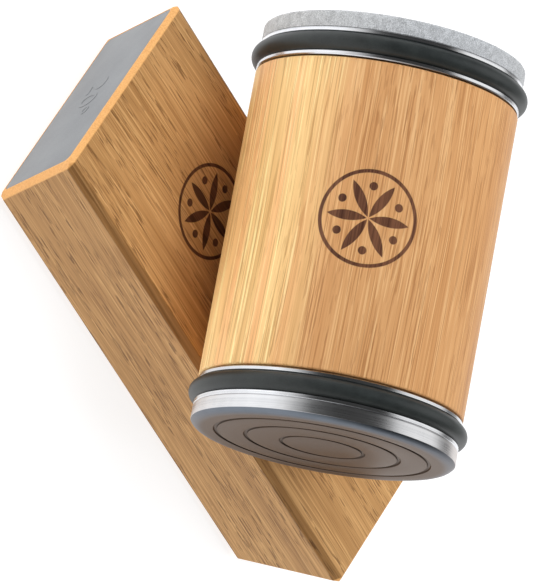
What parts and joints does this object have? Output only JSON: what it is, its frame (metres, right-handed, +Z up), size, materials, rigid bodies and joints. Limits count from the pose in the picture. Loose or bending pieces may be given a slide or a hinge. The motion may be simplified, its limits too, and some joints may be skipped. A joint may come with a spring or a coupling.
{
  "type": "rolling knife sharpener",
  "caption": "Roller with an oak barrel, rubber tyres, an abrasive disc and a grooved honing disc, lying across an oak block whose padded magnetic ends lean at fixed angles.",
  "frame": {"origin": "on the underside of the anti-slip pad, below the middle of the block's long top face", "axes": "+X along the block from its 20 degree end to its 15 degree end, +Z up, +Y across the block"},
  "size_m": [0.1273, 0.1043, 0.0874],
  "materials": {
    "oak": "oiled",
    "grip_pad": "matt",
    "base_rubber": "matt",
    "magnet": "nickel plated",
    "core_aluminium": "turned",
    "bearing_steel": "ground",
    "cage_polymer": "moulded",
    "spring_steel": "phosphated",
    "hub_metal": "polished",
    "tyre_rubber": "satin",
    "plate_steel": "turned",
    "abrasive": "gritty",
    "honing_steel": "turned",
    "screw_steel": "plain"
  },
  "bodies": {
    "block": {"block_body": "oak", "pad_20": "grip_pad", "pad_15": "grip_pad", "magnets_20": "magnet", "magnets_15": "magnet", "base_pad": "base_rubber"},
    "barrel": {"barrel": "oak", "core_tube": "core_aluminium", "carrier_grind": "core_aluminium", "carrier_hone": "core_aluminium", "outer_race_grind": "bearing_steel", "outer_race_hone": "bearing_steel", "circlip_grind": "spring_steel", "circlip_hone": "spring_steel"},
    "rotor": {"axle": "bearing_steel", "inner_race_grind": "bearing_steel", "inner_race_hone": "bearing_steel", "hub_grind": "hub_metal", "hub_hone": "hub_metal", "tyre_grind": "tyre_rubber", "tyre_hone": "tyre_rubber", "washer_grind": "screw_steel", "washer_hone": "screw_steel", "screw_grind": "screw_steel", "screw_hone": "screw_steel", "hub_magnets_grind": "magnet", "hub_magnets_hone": "magnet", "drive_pins_grind": "bearing_steel", "drive_pins_hone": "bearing_steel"},
    "cage_grind": {"balls_grind": "bearing_steel", "cage_grind": "cage_polymer"},
    "cage_hone": {"balls_hone": "bearing_steel", "cage_hone": "cage_polymer"},
    "grinding_disc": {"grinding_plate": "plate_steel", "abrasive_coat": "abrasive"},
    "honing_disc": {"honing_disc": "honing_steel"}
  },
  "joints": [
    {"name": "roller_lift", "type": "slide", "parent": "block", "child": "barrel", "axis": [0, 0, 1], "range_m": [0, 0.06]},
    {"name": "roller_spin", "type": "hinge", "parent": "barrel", "child": "rotor", "pos_m": [-0.0101, 0.0049, 0.0574], "axis": [-0.4894, 0.8721, 0], "continuous": true},
    {"name": "cage_spin_grind", "type": "hinge", "parent": "barrel", "child": "cage_grind", "pos_m": [-0.0101, 0.0049, 0.0574], "axis": [-0.4894, 0.8721, 0], "continuous": true},
    {"name": "cage_spin_hone", "type": "hinge", "parent": "barrel", "child": "cage_hone", "pos_m": [-0.0101, 0.0049, 0.0574], "axis": [-0.4894, 0.8721, 0], "continuous": true},
    {"name": "grinding_disc_pull", "type": "slide", "parent": "rotor", "child": "grinding_disc", "axis": [-0.4894, 0.8721, 0], "range_m": [0, 0.02]},
    {"name": "honing_disc_pull", "type": "slide", "parent": "rotor", "child": "honing_disc", "axis": [0.4894, -0.8721, 0], "range_m": [0, 0.02]}
  ],
  "couplings": [
    {"joint": "cage_spin_grind", "follows": "roller_spin", "ratio": 0.36767},
    {"joint": "cage_spin_hone", "follows": "roller_spin", "ratio": 0.36767}
  ]
}
